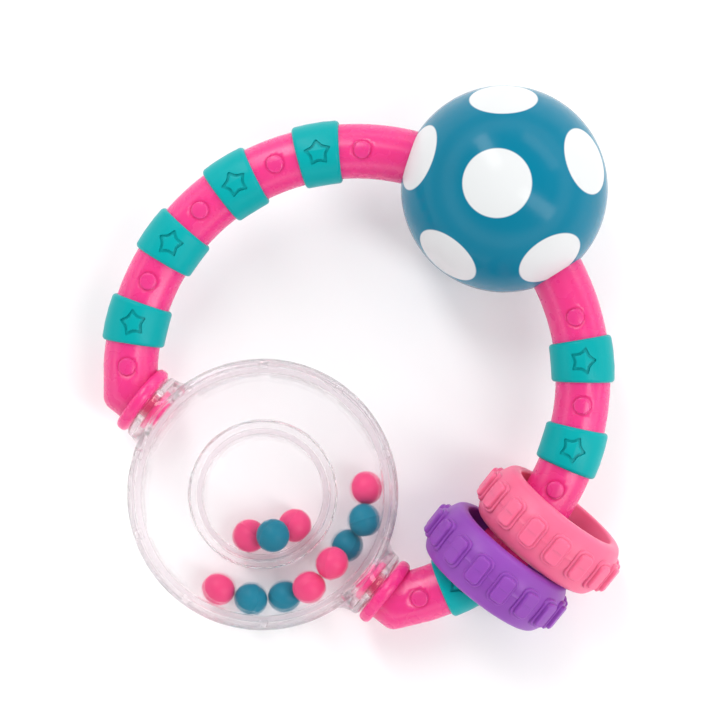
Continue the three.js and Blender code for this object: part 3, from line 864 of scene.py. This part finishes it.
for shell in (front_shell, back_shell):
    shell.visible_shadow = False         # clear walls leave no shade on what lies behind them
    shell.visible_diffuse = False

# %% [markdown]
# ## Beads
# Each bead is a small moulded ball that keeps the fine ridge of its mould round the middle.
# Every bead lies turned another way, so that the ridges don't line up.

# %% Fill the drum
BEAD_R = 4.3
ARC_STEPS = 18
RIDGE_ROOT, RIDGE_RISE, RIDGE_HALF = 0.01, 0.06, 0.09


def bead():
    outline = []
    for i in range(ARC_STEPS + 1):
        angle = math.pi * i / ARC_STEPS - math.pi / 2
        outline.append((BEAD_R * math.cos(angle), BEAD_R * math.sin(angle), 0))
    outline[0], outline[-1] = (0, -BEAD_R, 0), (0, BEAD_R, 0)
    ridge = [(BEAD_R - RIDGE_ROOT, -RIDGE_HALF, 0), (BEAD_R + RIDGE_RISE, 0, 0),
             (BEAD_R - RIDGE_ROOT, RIDGE_HALF, 0)]
    middle = ARC_STEPS // 2
    return turned(outline[:middle] + ridge + outline[middle + 1:], 40)


BEAD_TINTS = {"pink": bead_pink, "blue": bead_blue}
bead_nodes = sorted(node for node in frame["nodes"] if "_bead_" in node)
for i, node in enumerate(bead_nodes):
    low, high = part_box(node)
    lie = Matrix.Rotation(1.3 * i, 4, "X") @ Matrix.Rotation(0.9 + 2.1 * i, 4, "Y")
    place = Matrix.Translation((low + high) / 2) @ millimetres @ lie
    tint = BEAD_TINTS["pink" if "pink" in node else "blue"]
    finish(node.replace("_bead", "") + "_ball", bead(), place, tint, f"{node}_body", node)

# %% [markdown]
# ## Loose rings
# Both loose rings come from one mould: a fat, tyre-shaped ring whose bore widens to both
# faces, with sixteen lugs on its tread. Each lug stands on a low pad, and the mould's parting
# line runs over them.

# %% Shape a toothed ring
BORE_R, BORE_FLARE, TREAD_R, LUG_TOP = 13.8, 0.8, 19.7, 21.0
HOOP_EDGE, LAND_EDGE, TREAD_EDGE = 7.6, 2.65, 2.2
RIM_WIDTH, RIM_DROP, TREAD_DROP = 3.4, 2.6, 0.9
LINE_EDGE, LINE_RISE = 0.15, 0.1     # the parting line
LUG_COUNT, LUG_LENGTH, LUG_WIDTH, PAD_TOP, PAD_BORDER = 16, 7.2, 3.9, 19.95, 1.5
HOOP_LEAN = math.radians(6)


def rounded_block(depth, width, length, corner, edge):
    """A block that stands along x, with round corners and a softened top."""
    bm = bmesh.new()
    bmesh.ops.create_cube(bm, size=1.0)
    bmesh.ops.scale(bm, verts=bm.verts, vec=(depth, width, length))
    bmesh.ops.translate(bm, verts=bm.verts, vec=(-depth / 2, 0, 0))
    upright = [e for e in bm.edges if abs(e.verts[0].co.x - e.verts[1].co.x) > depth / 2]
    bmesh.ops.bevel(bm, geom=upright, offset=corner, segments=6, profile=0.5,
                    affect="EDGES", material=-1)
    rim = [e for e in bm.edges if all(v.co.x > -1e-4 for v in e.verts)]
    bmesh.ops.bevel(bm, geom=rim, offset=edge, segments=4, profile=0.5, affect="EDGES",
                    material=-1)
    return bm


def toothed_ring():
    bm = turned([(BORE_R, -LAND_EDGE, 1.5), (BORE_R, LAND_EDGE, 1.5),
                 (BORE_R + BORE_FLARE, HOOP_EDGE, 0.7), (BORE_R + RIM_WIDTH, HOOP_EDGE, 1.2),
                 (TREAD_R - TREAD_DROP, HOOP_EDGE - RIM_DROP, 1.5),
                 (TREAD_R - LINE_RISE, TREAD_EDGE, 1.0), (TREAD_R - LINE_RISE, LINE_EDGE, 0),
                 (TREAD_R, 0, 0), (TREAD_R - LINE_RISE, -LINE_EDGE, 0),
                 (TREAD_R - LINE_RISE, -TREAD_EDGE, 1.0),
                 (TREAD_R - TREAD_DROP, RIM_DROP - HOOP_EDGE, 1.5),
                 (BORE_R + RIM_WIDTH, -HOOP_EDGE, 1.2),
                 (BORE_R + BORE_FLARE, -HOOP_EDGE, 0.7)],
                steps=144, closed=True, segments=6)
    parts = ((rounded_block(3.2, LUG_WIDTH, LUG_LENGTH, corner=1.2, edge=0.5), LUG_TOP),
             (rounded_block(3.0, LUG_WIDTH + PAD_BORDER, LUG_LENGTH + PAD_BORDER, corner=1.9,
                            edge=0.3), PAD_TOP),
             (rounded_block(0.4, LUG_WIDTH - 1.2, 0.18, corner=0.05, edge=0.05),
              LUG_TOP + 0.06))
    for i in range(LUG_COUNT):
        turn = Matrix.Rotation(math.tau * (i + 0.5) / LUG_COUNT, 4, "Z")
        for part, top in parts:
            join_in(bm, part, turn @ Matrix.Translation((top, 0, 0)))
    return bm


standing = Matrix.Rotation(HOOP_LEAN - math.pi / 2, 4, "X")
for colour, material in (("pink", ring_pink), ("purple", ring_purple)):
    low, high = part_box(f"loose_ring_{colour}")
    place = handle_place @ standing
    place.translation = (low + high) / 2
    finish(f"toothed_ring_{colour}", toothed_ring(), place, material, f"{colour}_ring",
           f"loose_ring_{colour}")

# %% [markdown]
# ## Measure
# The finished rattle's box is printed in millimetres.

# %% Print the finished rattle's box
low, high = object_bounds()
print("visual box in mm:", [round(side / MM, 1) for side in high - low])
